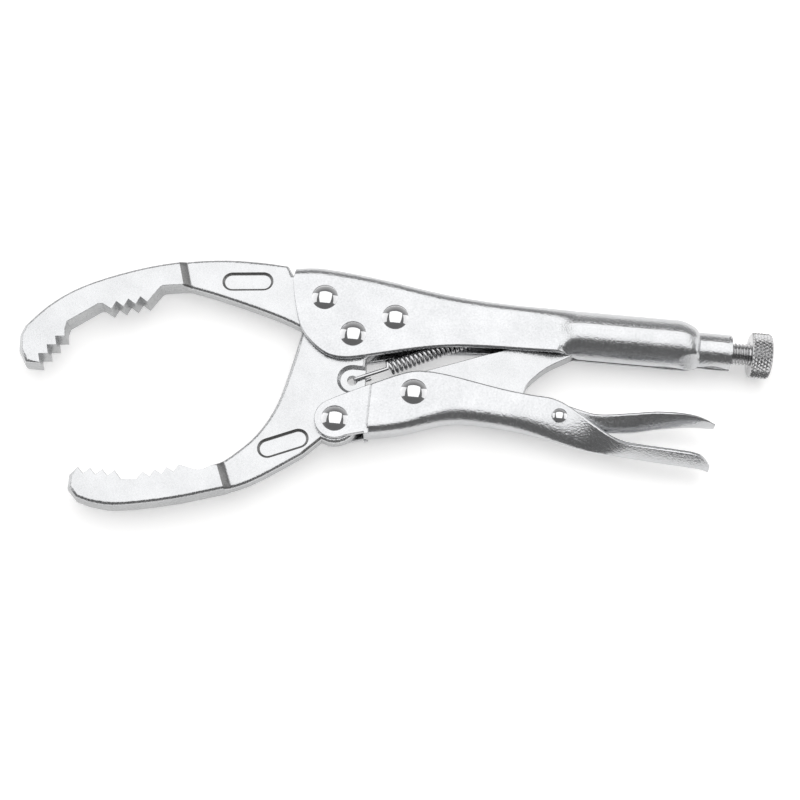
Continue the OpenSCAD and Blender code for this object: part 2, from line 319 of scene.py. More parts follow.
def combine(obj, tools, operation):
    """Adds closed solids to an object, or cuts them out of it."""
    for bm in tools:
        tool = new_object("tool", bm)
        modifier = obj.modifiers.new("tool", "BOOLEAN")
        modifier.operation = operation
        modifier.solver = "EXACT"
        modifier.object = tool
        bake(obj)
        bpy.data.objects.remove(tool)


def shade(obj, angle=38):
    """Smooth shading that keeps flat faces flat and edges over an angle sharp."""
    obj.data.shade_smooth()
    obj.data.set_sharp_from_angle(angle=math.radians(angle))
    modifier = obj.modifiers.new("normals", "WEIGHTED_NORMAL")
    modifier.keep_sharp = True
    modifier.weight = 80


def place(obj, material, body, *nodes):
    """Gives a piece its material and its body, and hides the CAD nodes that it stands for."""
    obj.data.materials.clear()
    obj.data.materials.append(material)
    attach(obj, body)
    stand_for(obj, *nodes)


def stand_for(obj, *nodes):
    """Hides the CAD nodes that a piece stands for."""
    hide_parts(*nodes)


# ---------------------------------------------------------------- materials


def noise(tree, where, size, detail=2.0):
    """Noise with features about size millimetres across."""
    node = tree.nodes.new("ShaderNodeTexNoise")
    node.inputs["Scale"].default_value = 1 / (size * MM)
    node.inputs["Detail"].default_value = detail
    tree.links.new(where, node.inputs["Vector"])
    return node.outputs["Fac"]


def spread(tree, value, low, high):
    """Stretches the middle of a noise's range from low to high."""
    node = tree.nodes.new("ShaderNodeMapRange")
    node.inputs["From Min"].default_value = 0.32
    node.inputs["From Max"].default_value = 0.68
    node.inputs["To Min"].default_value = low
    node.inputs["To Max"].default_value = high
    tree.links.new(value, node.inputs["Value"])
    return node.outputs["Result"]


def bump(tree, height, depth, normal=None):
    """Relief of a depth in millimetres."""
    node = tree.nodes.new("ShaderNodeBump")
    node.inputs["Strength"].default_value = 1.0
    node.inputs["Distance"].default_value = depth * MM
    tree.links.new(height, node.inputs["Height"])
    if normal:
        tree.links.new(normal, node.inputs["Normal"])
    return node.outputs["Normal"]


def plated(name, dark, light, rough, grain, grain_depth, wave_depth):
    """Plated steel: a fine grain, slow waves of the surface, and a tint and gloss that vary."""
    cloud_size, wave_size = 9.0, 3.2
    grain_share, cloud_share = 0.9, 0.2
    material = bpy.data.materials.new(name)
    material.use_nodes = True
    tree = material.node_tree
    shader = tree.nodes["Principled BSDF"]
    shader.inputs["Metallic"].default_value = 1.0
    where = tree.nodes.new("ShaderNodeTexCoord").outputs["Object"]
    fine = noise(tree, where, grain, 3.0)
    clouds = noise(tree, where, cloud_size, 4.0)
    mix = tree.nodes.new("ShaderNodeMix")
    mix.data_type = "RGBA"
    mix.inputs["A"].default_value = (*dark, 1)
    mix.inputs["B"].default_value = (*light, 1)
    both = tree.nodes.new("ShaderNodeMath")
    both.operation = "MULTIPLY_ADD"
    both.inputs[1].default_value = grain_share
    tree.links.new(fine, both.inputs[0])
    tree.links.new(spread(tree, clouds, 0.0, cloud_share), both.inputs[2])
    tree.links.new(both.outputs[0], mix.inputs["Factor"])
    tree.links.new(mix.outputs["Result"], shader.inputs["Base Color"])
    tree.links.new(spread(tree, fine, rough[0], rough[1]), shader.inputs["Roughness"])
    waves = bump(tree, noise(tree, where, wave_size, 1.0), wave_depth)
    tree.links.new(bump(tree, fine, grain_depth, waves), shader.inputs["Normal"])
    return material


def make_materials():
    """The finishes by name, and darker copies for the sides of the jaws and link and for the jaws' ramps
    and recess walls, whose darker tone is painted shade.
    """
    return {
        "sheet": plated("satin_plated_sheet", (0.41, 0.415, 0.425), (0.67, 0.675, 0.685),
                        (0.13, 0.27), 0.66, 0.100, 0.018),
        "forged": plated("satin_plated_forging", (0.42, 0.425, 0.432), (0.66, 0.665, 0.675),
                         (0.16, 0.32), 0.60, 0.070, 0.014),
        "bright": plated("bright_plated_steel", (0.46, 0.46, 0.465), (0.56, 0.56, 0.565),
                         (0.10, 0.24), 0.40, 0.016, 0.006),
        # a darker, rougher copy of the forging's finish for side walls: the rougher gloss is the walls'
        # own, the darker tone is painted shade
        "side": plated("forged_side_painted_shade", (0.32, 0.325, 0.33), (0.54, 0.545, 0.55),
                       (0.22, 0.40), 0.60, 0.090, 0.014),
        # a near-black copy of the finish for the jaws' ramps and recess walls: painted shade
        "ramp": plated("painted_shade_ramp", (0.06, 0.06, 0.06), (0.36, 0.36, 0.36),
                       (0.30, 0.50), 0.42, 0.120, 0.010),
        "wire": plated("spring_wire_plating", (0.50, 0.50, 0.51), (0.62, 0.62, 0.63),
                       (0.10, 0.18), 0.5, 0.004, 0.003),
        "polished": plated("polished_dome_steel", (0.60, 0.60, 0.61), (0.72, 0.72, 0.73),
                           (0.035, 0.08), 0.6, 0.0015, 0.004),
    }


# ---------------------------------------------------------------- jaws and link

JAW_EDGE = 1.6
JAW_DRAFT = 0.25
PARTING = 0.5
TOOTH_SHARE = 0.22
FOOT_DEPTH = 0.25
FOOT_WIDTH = 0.4
HOLE_SHARE = 0.3
RECESS_MARGIN = 0.7
RECESS_EXTRA_DEPTH = 0.3
MOUTH = mount("jaw_grip")[0][:2]


def longest_pair(face):
    """Middle, direction, length and spacing of a face's two longest edges."""
    edges = sorted(face.edges, key=lambda e: -e.calc_length())[:2]
    points = np.array([v.co.xy[:] for e in edges for v in e.verts])
    way = points[1] - points[0]
    length = np.hypot(*way)
    across = np.array([-way[1], way[0]]) / length
    return points.mean(0), math.atan2(way[1], way[0]), length, abs((points[2] - points[0]) @ across)


def jaw_faces(node):
    """A jaw's ramp and its recess floor on the upper side, from its CAD mesh."""
    bm = cad_mesh(node)
    bmesh.ops.dissolve_limit(bm, angle_limit=math.radians(0.5), verts=bm.verts, edges=bm.edges)
    ramp = max((f for f in bm.faces if 0.7 < f.normal.z < 0.99), key=lambda f: f.calc_area())
    high = max(v.co.z for v in ramp.verts)
    low = min(v.co.z for v in ramp.verts)
    down = np.array(ramp.normal.xy.normalized())
    start = np.mean([np.array(v.co.xy) @ down for v in ramp.verts if v.co.z > high - 0.01])
    end = np.mean([np.array(v.co.xy) @ down for v in ramp.verts if v.co.z < low + 0.01])
    sunken = [f for f in bm.faces if f.normal.z > 0.999 and 0.1 < low - f.calc_center_median().z < 0.9]
    recess_floor = max(sunken, key=lambda f: f.calc_area())
    depth = low - recess_floor.calc_center_median().z
    shape = longest_pair(recess_floor)
    bm.free()
    return {"down": down, "start": start, "end": end, "arm": low - MID, "tip": high - MID,
            "recess": shape, "depth": depth}


def stadium(centre, angle, straight, width, steps=14):
    """Outline of a slot with round ends, anticlockwise."""
    points = []
    for end in (0, math.pi):
        middle = centre + straight / 2 * np.array([math.cos(angle + end), math.sin(angle + end)])
        for k in range(steps + 1):
            a = angle + end - QUARTER + math.pi * k / steps
            points.append(middle + width / 2 * np.array([math.cos(a), math.sin(a)]))
    return np.array(points)


def recess_tool(loop, surface, depth, side):
    """Solid that cuts a recess into a face, with sloping walls and a soft rim."""
    slope = 0.65 * depth + 0.45
    profile = [(slope, -depth), (slope - 0.25, 0.07 - depth), (0.12, -0.14),
               (0.0, -0.02), (-0.18, 0.02), (-0.6, 0.3)]
    return plate([loop], [(inwards, MID + side * (surface + height)) for inwards, height in profile])


def thicken_tip(bm, faces):
    """Makes a jaw thicker past its ramp, with an edge on each side of the ramp and a foot before it."""
    down = faces["down"]
    foot = faces["end"] + FOOT_WIDTH
    knots = [faces["start"], faces["end"], foot]
    for cut in knots:
        parts = bm.verts[:] + bm.edges[:] + bm.faces[:]
        cut_at = (*(down * cut), 0)
        bmesh.ops.bisect_plane(bm, geom=parts, dist=1e-5, plane_co=cut_at, plane_no=(*down, 0))
    heights = [faces["tip"], faces["arm"] - FOOT_DEPTH, faces["arm"]]
    for v in bm.verts:
        scale = np.interp(np.array(v.co.xy) @ down, knots, heights) / faces["arm"]
        v.co.z = MID + (v.co.z - MID) * scale


def edge_shares(loop, faces):
    """How round each point's edges are: less at the teeth, which face the mouth beyond the ramp."""
    inwards = inset(loop, 1.0) - loop
    facing = -(inwards * (MOUTH - loop)).sum(1) / np.hypot(*inwards.T) / np.hypot(*(MOUTH - loop).T)
    past_ramp = loop @ faces["down"] < faces["start"]
    return np.where(past_ramp & (facing > 0), TOOTH_SHARE, 1.0)


def paint(obj, material, chosen):
    """Gives the faces that chosen accepts a finish of their own."""
    obj.data.materials.append(material)
    index = len(obj.data.materials) - 1
    for polygon in obj.data.polygons:
        if chosen(polygon):
            polygon.material_index = index


def is_side(polygon):
    """Whether a face is part of a forging's side, not of its flats or its rounded edges."""
    return abs(polygon.normal.z) < 0.35


def ramp_and_recess_shade(faces):
    """Test for the faces of a jaw's ramp and of the walls of its recess, which take the dark finish that
    is painted shade.
    """
    centre, angle, straight, width = faces["recess"]
    way = np.array([math.cos(angle), math.sin(angle)])
    across = np.array([-way[1], way[0]])
    half_length = (straight + width) / 2 + RECESS_MARGIN
    half_width = width / 2 + RECESS_MARGIN

    def chosen(polygon):
        here = np.array(polygon.center[:2]) / MM
        tilt = abs(polygon.normal.z)
        on_ramp = tilt > 0.5 and faces["start"] < here @ faces["down"] < faces["end"]
        apart = here - centre
        in_recess = abs(apart @ way) < half_length and abs(apart @ across) < half_width
        return 0.1 < tilt < 0.98 and (on_ramp or in_recess)

    return chosen


def jaw(node, body, finishes, extra=()):
    """A forged jaw with rounded edges, a parting line, a thicker toothed end and its recesses."""
    faces = jaw_faces(node)
    loops = section(node, MID)
    shares = [edge_shares(loops[0], faces)] + [HOLE_SHARE] * (len(loops) - 1)
    bm = plate(loops, rounded(faces["arm"], JAW_EDGE, JAW_DRAFT, PARTING), shares)
    thicken_tip(bm, faces)
    obj = new_object(node + "_forging", bm)
    centre, angle, straight, width = faces["recess"]
    outline = stadium(centre, angle, straight, width)
    depth = faces["depth"] + RECESS_EXTRA_DEPTH
    tools = [recess_tool(outline, faces["arm"], depth, side) for side in (1, -1)]
    combine(obj, tools + [tool for make in extra for tool in make(faces, loops)], "DIFFERENCE")
    shade(obj)
    place(obj, finishes["forged"], body, node)
    # side walls get the darker tone: painted shade
    paint(obj, finishes["side"], is_side)
    # the ramp and the recess walls are painted dark: painted shade
    paint(obj, finishes["ramp"], ramp_and_recess_shade(faces))


def lug_relief(faces, loops):
    """Round spot face about the spring hole, open towards the handles, on both sides of the jaw."""
    hole = min(loops[1:], key=lambda p: abs(area(p)))
    centre = hole.mean(0)
    radius, depth, reach, steps = 5.5, 1.4, 9.0, 24
    angles = [QUARTER + math.pi * k / steps for k in range(steps + 1)]
    arc = [centre + radius * np.array([math.cos(a), math.sin(a)]) for a in angles]
    loop = np.array(arc + [centre + (reach, -radius), centre + (reach, radius)])
    return [recess_tool(loop, faces["arm"], depth, side) for side in (1, -1)]


def toggle_link(finishes):
    """The sheared toggle link, with thin rounded edges."""
    low, high = corners("toggle_link")
    half_t, edge = (high[2] - low[2]) / 2, 0.35
    obj = new_object("toggle_link_plate", plate(section("toggle_link", MID), rounded(half_t, edge)))
    shade(obj)
    place(obj, finishes["forged"], "toggle_link", "toggle_link")
    # side walls get the darker tone: painted shade
    paint(obj, finishes["side"], is_side)


# ---------------------------------------------------------------- sheet metal

# points along each wall, round each corner, along half of the spine and round each rim
WALL_STEPS = 20
CORNER_STEPS = 12
SPINE_STEPS = 3
RIM_STEPS = 6
# length of wall kept free of points below its rim, so that the rim can be rounded
RIM_ROOM = 1.1
# pull of a cubic curve that comes closest to a quarter circle
ROUNDNESS = 0.5523
# angles from the seam at which a tube's wall points and corner points end
WALL_ANGLE = 2.04
CORNER_ANGLE = 2.94


def bend_curve(start, bend, end):
    """Points round a corner, from start to end, with both ends in line with the corner's two arms."""
    first = start + ROUNDNESS * (bend - start)
    last = end + ROUNDNESS * (bend - end)
    points = []
    for k in range(CORNER_STEPS + 1):
        t = k / CORNER_STEPS
        arms = 3 * t * (1 - t) ** 2 * first + 3 * t ** 2 * (1 - t) * last
        points.append((1 - t) ** 3 * start + arms + t ** 3 * end)
    return points


def both_sides(x, near, spine):
    """A whole section from the near side's points (y, z from the middle), the spine and the far side."""
    far = [(y, -z) for y, z in reversed(near)]
    return [(x, y, MID + z) for y, z in near + [(spine, 0.0)] + far]


def channel_row(x, rim, spine, half_w, corner, lean=0.0, stretch=1.0):
    """Section of a bent sheet: near wall from its rim, round corner, spine, and the same on the far side.

    lean turns the walls, so that the channel is widest at its rims. stretch makes the corner longer in y.
    """
    depth = abs(rim - spine)
    slope = min(math.tan(lean), 0.8 * half_w / depth)
    edge = np.array([rim, half_w])
    bend = np.array([spine, half_w - depth * slope])
    start = bend + min(corner * stretch, 0.9 * depth) / depth * (edge - bend)
    end = bend - np.array([0, min(corner, bend[1] - 0.1)])
    near = [edge]
    first = min(0.6, RIM_ROOM / abs(rim - start[0]))
    for k in range(WALL_STEPS - 1):
        near.append(edge + (start - edge) * (first + (1 - first) * k / (WALL_STEPS - 1)))
    near += bend_curve(start, bend, end)
    near += [(spine, end[1] * (1 - k / SPINE_STEPS)) for k in range(1, SPINE_STEPS)]
    return both_sides(x, near, spine)


def tube_row(x, centre_y, radius, gap):
    """Section of the sheet closed into a tube, with its seam below, in as many points as a channel."""
    first = math.asin(min(gap / 2 / radius, 0.99))
    corner = CORNER_ANGLE - WALL_ANGLE
    angles = [first + (WALL_ANGLE - first) * k / WALL_STEPS for k in range(WALL_STEPS)]
    angles += [WALL_ANGLE + corner * k / CORNER_STEPS for k in range(CORNER_STEPS + 1)]
    angles += [CORNER_ANGLE + (math.pi - CORNER_ANGLE) * k / SPINE_STEPS for k in range(1, SPINE_STEPS)]
    near = [(centre_y - radius * math.cos(a), radius * math.sin(a)) for a in angles]
    return both_sides(x, near, centre_y + radius)


def round_rim(outer, inner, next_outer, edge):
    """Points round the rim of a sheet, from its outer surface to its inner one."""
    way = outer - next_outer
    way *= min(edge, 0.8 * way.length) / way.length
    middle = (outer + inner) / 2 - way
    half = (outer - inner) / 2
    angles = [math.pi * k / RIM_STEPS for k in range(RIM_STEPS + 1)]
    return [middle + half * math.cos(a) + way * math.sin(a) for a in angles]


END_EDGE = 0.2


def sheet(name, rows, thickness, edge):
    """A bent sheet behind its outer surface, as thick as asked where there is room, with round rims."""
    skin = grid(rows)
    skin.normal_update()
    skin.verts.ensure_lookup_table()
    count = len(rows[0])
    middle = sum((v.co for v in skin.verts), Vector()) / len(skin.verts)
    wall = skin.verts[len(rows) // 2 * count + WALL_STEPS // 2]
    sign = -1 if wall.normal.dot(wall.co - middle) > 0 else 1
    rings = []
    for i, row in enumerate(rows):
        wide = max(p[2] for p in row) - min(p[2] for p in row)
        deep = max(p[1] for p in row) - min(p[1] for p in row)
        offset = float(sign * min(thickness, 0.3 * wide, 0.5 * deep + 0.5))
        verts = skin.verts[i * count:(i + 1) * count]
        outer = [v.co for v in verts]
        inner = [v.co + offset * Vector((0, v.normal.y, v.normal.z)).normalized() for v in verts]
        near = round_rim(outer[0], inner[0], outer[1], edge)
        far = round_rim(outer[-1], inner[-1], outer[-2], edge)
        rings.append(near[::-1] + outer[1:-1] + far + inner[-2:0:-1])
    bm = grid(rings, closed=True)
    bm.verts.ensure_lookup_table()
    around = len(rings[0])
    for ring in (bm.verts[:around], bm.verts[-around:]):
        for triangle in tessellate_polygon([[v.co for v in ring]]):
            bm.faces.new([ring[i] for i in triangle])
    bmesh.ops.recalc_face_normals(bm, faces=bm.faces)
    skin.free()
    obj = new_object(name, bm)
    soft = obj.modifiers.new("edge", "BEVEL")
    soft.width = END_EDGE * MM
    soft.segments = 2
    soft.limit_method = "ANGLE"
    soft.angle_limit = math.radians(50)
    bake(obj)
    return obj


def stations(*stretches):
    """Places along X from one (from, to, step) for each stretch."""
    xs = []
    for start, end, size in stretches:
        count = max(1, round((end - start) / size))
        xs += [start + (end - start) * k / count for k in range(count)]
    return xs + [stretches[-1][1]]


def tip_stations(start, tip, count):
    """Places along X from start to a tip, closer together towards the tip."""
    return [tip - (tip - start) * (1 - math.sin(QUARTER * k / count)) for k in range(1, count + 1)]


def round_end(x, start, length, power):
    """Share of a trough's width that is left at x, on its way to a round tip."""
    return max(0.45, math.sqrt(max(0.0, 1 - (max(0.0, x - start) / length) ** power)))


COLLAR_START = 109.0
COLLAR_R = 6.7
SHOULDER_LENGTH = 7.5
SHOULDER_START = COLLAR_START - SHOULDER_LENGTH


def shoulder_radius(x):
    """Outer radius of the closed end of the fixed handle: tube, round shoulder, collar."""
    t = min(max((x - SHOULDER_START) / SHOULDER_LENGTH, 0.0), 1.0)
    return COLLAR_R + (TUBE_R - COLLAR_R) * math.sqrt(1 - t * t)


def seam_gap(x):
    """Width of the seam under the tube, which opens at the tube's end and in a lens in the collar."""
    closed_w, mouth_w, lens_w = 0.25, 1.3, 2.6
    mouth_at, mouth_reach = 98.0, 3.5
    lens_at, lens_reach = 114.9, 4.6
    mouth = mouth_w * math.exp(-((x - mouth_at) / mouth_reach) ** 2)
    lens = lens_w * max(0.0, 1 - ((x - lens_at) / lens_reach) ** 2)
    return closed_w + max(mouth, lens)


CRIMP_TILT = math.radians(61)
CRIMP_SLOPE = math.radians(11)
CRIMP_START = COLLAR_START - 10
CRIMP_END = COLLAR_START + 0.3


def crimp(rows):
    """Presses the shoulder flat on its two lower sides, from the tube's end down to the collar."""
    for side in (1, -1):
        across = np.array([0, -math.sin(CRIMP_TILT), side * math.cos(CRIMP_TILT)])
        normal = np.array([math.sin(CRIMP_SLOPE), 0, 0]) + math.cos(CRIMP_SLOPE) * across
        origin = np.array([COLLAR_START, SCREW_Y, MID]) + (COLLAR_R + 0.05) * across
        for row in rows:
            for i, point in enumerate(row):
                height = (np.array(point) - origin) @ normal
                if height > 0 and CRIMP_START < point[0] < CRIMP_END:
                    row[i] = tuple(np.array(point) - height * normal)


def fixed_handle(material):
    """The stamped fixed handle: a channel that flares into a closed tube and ends in a collar."""
    wall, inner, corner, swell, edge = 2.3, 3.1, 4.6, 1.9, 0.6
    outline = section("fixed_handle", MID + inner + wall / 2)[0]
    front = outline[:, 0].min() + 0.05
    flare, closed = TUBE_START - 7, TUBE_START + 2.5
    seam_opens, seam_open = 92, 101
    # closest together at the front edge, the flare, the seam's end, the shoulder and the collar
    xs = stations((front, front + 3, 0.3), (front + 3, front + 24, 0.8), (front + 24, flare, 2.0),
                  (flare, closed, 0.55), (closed, seam_opens, 2.5), (seam_opens, seam_open, 0.7))
    xs += [COLLAR_START - SHOULDER_LENGTH * math.cos(QUARTER * k / 12) for k in range(1, 13)]
    xs += stations((COLLAR_START + 0.35, HANDLE_END, 0.65))
    rows = []
    for x in xs:
        centre = TUBE_AT[1] + (SCREW_Y - TUBE_AT[1]) * step(x, SHOULDER_START, COLLAR_START)
        row = tube_row(x, centre, shoulder_radius(x), seam_gap(x))
        if x < closed:
            low, high = edges_at(outline, x)
            bulge = swell * step(x, flare - 15, closed - 2)
            channel = channel_row(x, low, high, inner + wall + bulge, corner + bulge)
            share = step(x, flare, closed)
            row = [tuple(np.array(a) * (1 - share) + np.array(b) * share) for a, b in zip(channel, row)]
        rows.append(row)
    crimp(rows)
    obj = sheet("fixed_handle_stamping", rows, wall, edge)
    spring_tab(material)
    shade(obj)
    place(obj, material, "fixed_handle", "fixed_handle")


TAB_AT = np.array([43.5, 35.0])


def spring_tab(material):
    """The tab inside the fixed handle, with the hole for the spring's far hook."""
    half_t, edge, hole_r, hole_steps = 0.7, 0.2, 1.3, 24
    loop = TAB_AT + np.array([[-3, -2.6], [3, -2.6], [3, 4.6], [-3, 4.6]])
    angles = -TURN / hole_steps * np.arange(hole_steps)
    hole = TAB_AT + hole_r * np.stack([np.cos(angles), np.sin(angles)], 1)
    upper = [(0, half_t - edge), (edge, half_t)]
    lower = [(side, -height) for side, height in reversed(upper)]
    obj = new_object("spring_tab", plate([loop, hole], [(side, MID + h) for side, h in lower + upper]))
    shade(obj)
    place(obj, material, "fixed_handle", "fixed_handle")


def lower_handle(material):
    """The stamped lower handle: two flat ears, a channel, and a trough that ends in a round tip."""
    wall, ear_in, joggle, edge, ear_edge = 2.0, 3.1, 0.5, 0.7, 0.3
    half_w = ear_in + wall + joggle
    draw_in, draw_in_length = 0.6, 1.3
    outline = section("lower_handle", MID + ear_in + wall / 2 + 0.3)[0]
    front, ear_end, tip = -8.0, -6.9, outline[:, 0].max() - 0.5
    xs = stations((front, -6, 0.25), (-6, 56, 1.6), (56, 106, 1.2)) + tip_stations(106, tip, 12)
    rows = []
    for x in xs:
        high = edges_at(outline, x)[1]
        low = edges_at(outline, max(x, ear_end))[0]
        width = half_w - draw_in * (1 - step(x, front, front + draw_in_length))
        width *= round_end(x, 105, 10.6, 2.4)
        # behind the lever's rivet the channel becomes a trough: less deep, with walls that lean out
        trough = step(x, 60, 90)
        low += min(0.5, 0.15 * (high - low)) * trough
        corner = 4 + 1.3 * step(x, 0, 22) - 2.7 * trough
        lean = math.radians(10 * step(x, 46, 66) + 45 * trough)
        stretch = 1 + 0.25 * step(x, 0, 22) + 0.8 * step(x, 36, 66) - 1.05 * trough
        rows.append(channel_row(x, high, low, width, corner, lean, stretch))
    obj = sheet("lower_handle_stamping", rows, wall, edge)
    loops = section("lower_handle", MID + ear_in + 0.25)
    holes = [p for p in loops[1:] if p[:, 0].max() < front]
    ear_overlap = 1.6
    middle = ear_in + wall / 2
    profile = rounded(wall / 2, ear_edge, steps=3)
    ear = [left_of(loops[0], front + ear_overlap)] + holes
    ears = [plate(ear, [(s, h + side * middle) for s, h in profile]) for side in (1, -1)]
    combine(obj, ears, "UNION")
    shade(obj)
    place(obj, material, "lower_handle", "lower_handle")


def release_lever(material):
    """The release lever: a narrow channel inside the lower handle that opens into a thumb trough."""
    wall, narrow, wide, edge = 1.5, 3.3, 5.3, 0.6
    front_part = section("release_lever", MID + narrow - wall / 2)[0]
    back_part = section("release_lever", MID + wide - wall / 2)[0]
    start, join = front_part[:, 0].min() + 0.3, back_part[:, 0].min() + 0.6
    tip = back_part[:, 0].max() - 0.5
    rows = []
    for x in stations((start, 62, 1.5), (62, 104, 1.0)) + tip_stations(104, tip, 14):
        back, rim = edges_at(front_part if x < join else back_part, x)
        width = (narrow + (wide - narrow) * step(x, 66, 86)) * round_end(x, 100, 16.6, 3.2)
        # the thumb's end is less deep than the rest, and its walls lean out further
        trough = step(x, 84, 98)
        back += min(1.0, 0.25 * (rim - back)) * trough
        corner = 1.7 + 1.6 * step(x, 80, 96)
        lean = math.radians(30 * step(x, 58, 74) + 11 * trough)
        rows.append(channel_row(x, rim, back, width, corner, lean))
    obj = sheet("release_lever_stamping", rows, wall, edge)
    shade(obj)
    place(obj, material, "release_lever", "release_lever")


# ---------------------------------------------------------------- rivets, screw, knob and spring


def lathe(profile, centre, axis, sides=64):
    """Closed rows for a turned shape: profile is a list of (radius, place along the axis)."""
    rows = []
    for radius, along in profile:
        row = []
        for k in range(sides):
            a = TURN * k / sides
            u, v = radius * math.cos(a), radius * math.sin(a)
            row.append((u, v, along) if axis == "z" else (along, u, v))
        rows.append(np.array(row) + np.array(centre))
    return rows


def rivet(node, body, material, head_h):
    """A rivet with a low polished dome on each side."""
    low, high = corners(node)
    middle = (low + high) / 2
    radius, half = (high[0] - low[0]) / 2, (high[2] - low[2]) / 2
    shank, rim_h, edge, steps = radius * 0.62, 0.18, 0.06, 14
    dome_h = head_h - rim_h
    dome_r = (radius ** 2 + dome_h ** 2) / (2 * dome_h)
    reach = math.asin(min(1.0, radius / dome_r))
    under = half - head_h
    head = [(shank, under), (radius - edge, under), (radius, under + edge)]
    for k in range(steps):
        a = reach * (1 - k / steps)
        head.append((dome_r * math.sin(a), half - dome_r * (1 - math.cos(a))))
    head.append((0.05, half))
    profile = [(r, -z) for r, z in reversed(head)] + head
    obj = new_object(node + "_dome", capped(lathe(profile, middle, "z")))
    shade(obj)
    place(obj, material, body, node)


PITCH = 1.25
THREAD_DEPTH = 0.68


def thread_height(phase):
    """Height of the thread at a phase of its turn: 0 on its flat root, 1 on its flat crest."""
    return min(max(1.35 * abs(2 * phase - 1) - 0.12, 0.0), 1.0)


def adjusting_screw(material):
    """The screw: a plain shank inside the tube, and its thread as one helix from there to the knob."""
    radius = (SCREW_HIGH[1] - SCREW_LOW[1]) / 2
    shank_r, bevel = radius - 0.5, 0.7
    thread_start, thread_end = 92.0, KNOB_LOW[0] - 0.35
    fade_in, fade_out, least = 2.0, 0.8, 0.25
    centre = (0, SCREW_Y, MID)
    sides, per_turn = 48, 14
    count = round((thread_end - thread_start) / PITCH * per_turn)
    rows = lathe([(shank_r - bevel, SCREW_LOW[0]), (shank_r, SCREW_LOW[0] + bevel),
                  (shank_r, thread_start - 1)], centre, "x", sides)
    for i in range(count + 1):
        along = thread_start + (thread_end - thread_start) * i / count
        fade = min(1.0, (along - thread_start) / fade_in, (thread_end - along) / fade_out + least)
        row = []
        for k in range(sides):
            a = TURN * k / sides
            height = thread_height((along / PITCH - k / sides) % 1.0)
            r = radius - THREAD_DEPTH * (1 - fade * height)
            row.append((along, SCREW_Y + r * math.cos(a), MID + r * math.sin(a)))
        rows.append(row)
    # the plain end inside the knob
    rows += lathe([(radius - 0.3, KNOB_LOW[0] - 0.2), (radius - 0.1, KNOB_LOW[0] + 1.0)],
                  centre, "x", sides)
    obj = new_object("adjusting_screw_thread", capped(rows))
    shade(obj, 50)
    place(obj, material, "adjusting_screw", "adjusting_screw")


KNURL_STARTS = 36
KNURL_DEPTH = 0.62
KNURL_ANGLE = math.radians(33)
# share of the way between two grooves that is flat
KNURL_FLAT = 0.12


def adjusting_knob(material):
    """The knob, with a diamond knurl between its two bevelled faces."""
    radius = (KNOB_HIGH[1] - KNOB_LOW[1]) / 2
    start, end = KNOB_LOW[0], KNOB_HIGH[0]
    centre = (0, SCREW_Y, MID)
    sides, count, bevel, margin = KNURL_STARTS * 8, 48, 1.0, 0.12
    lean = math.tan(KNURL_ANGLE) / radius
    # the face towards the collar is sunk round the screw, and the far face has a dimple
    rows = lathe([(3.0, start + 0.25), (4.6, start + 0.25), (4.9, start), (radius - bevel, start)],
                 centre, "x", sides)
    for i in range(count + 1):
        along = start + margin + (end - start - 2 * margin) * i / count
        edge = min(along - start, end - along)
        body = radius - bevel * max(0.0, 1 - edge / bevel) ** 1.6
        share = step(edge, 0.15, 0.9)
        row = []
        for k in range(sides):
            a = TURN * k / sides
            u = (KNURL_STARTS * (a + lean * along) / TURN) % 1.0
            v = (KNURL_STARTS * (a - lean * along) / TURN) % 1.0
            groove = max(abs(2 * u - 1), abs(2 * v - 1))
            r = body - share * KNURL_DEPTH * max(0.0, groove - KNURL_FLAT) / (1 - KNURL_FLAT)
            row.append((along, SCREW_Y + r * math.cos(a), MID + r * math.sin(a)))
        rows.append(row)
    rows += lathe([(radius - bevel - 0.1, end), (2.6, end), (2.2, end - 0.3), (0.1, end - 0.3)],
                  centre, "x", sides)
    obj = new_object("adjusting_knob_knurled", capped(rows))
    shade(obj, 30)
    place(obj, material, "adjusting_knob", "adjusting_knob")


LUG_HOLE = np.array([-13.2, 6.0])
COIL_START = np.array([-2.1, 11.9])
COIL_PITCH = 1.7
COIL_LENGTH = 43.5
WIRE_R = 0.66
COIL_R = 2.35
# the wire's way through each hook, as offsets from the middle of its hole
NEAR_HOOK = [(5.4, 2.3, -2.2), (1.2, 0.4, -2.2), (0.1, 0.0, -1.7), (0.0, 0.0, 0.0), (0.1, 0.0, 1.7),
             (1.0, 0.4, 2.25), (10.2, 4.6, 2.3), (11.1, 5.4, 2.3), (10.9, 7.4, 2.1), (11.3, 8.8, 1.0)]
FAR_HOOK = [(-3.6, -1.0, 1.5), (-0.8, 0.0, 1.6), (0.0, 0.0, 0.9), (0.0, 0.0, -0.9),
            (-0.8, -0.3, -1.6), (-3.0, -1.2, -1.6)]


def hook(hole, offsets):
    """Points along the wire of a hook."""
    return [(hole[0] + x, hole[1] + y, MID + z) for x, y, z in offsets]


def spring(material):
    """The return spring: a hook through the jaw's lug, an open coil, and a hook through the tab."""
    way = (TAB_AT - COIL_START) / np.hypot(*(TAB_AT - COIL_START))
    across = np.array([-way[1], way[0]])
    path = smooth_path(hook(LUG_HOLE, NEAR_HOOK))[:-1]
    per_turn, margin = 26, 0.5
    count = round(COIL_LENGTH / COIL_PITCH * per_turn)
    for i in range(count + 1):
        along = margin + (COIL_LENGTH - 2 * margin) * i / count
        a = TURN * i / per_turn
        flat = COIL_START + way * along + across * COIL_R * math.cos(a)
        path.append(np.array([*flat, MID + COIL_R * math.sin(a)]))
    path += smooth_path([path[-1]] + hook(TAB_AT, FAR_HOOK), 6)[1:]
    obj = new_object("return_spring_wire", tube(path, WIRE_R))
    shade(obj, 60)
    obj.data.materials.append(material)
    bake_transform(obj)
    stand_for(obj, "spring")


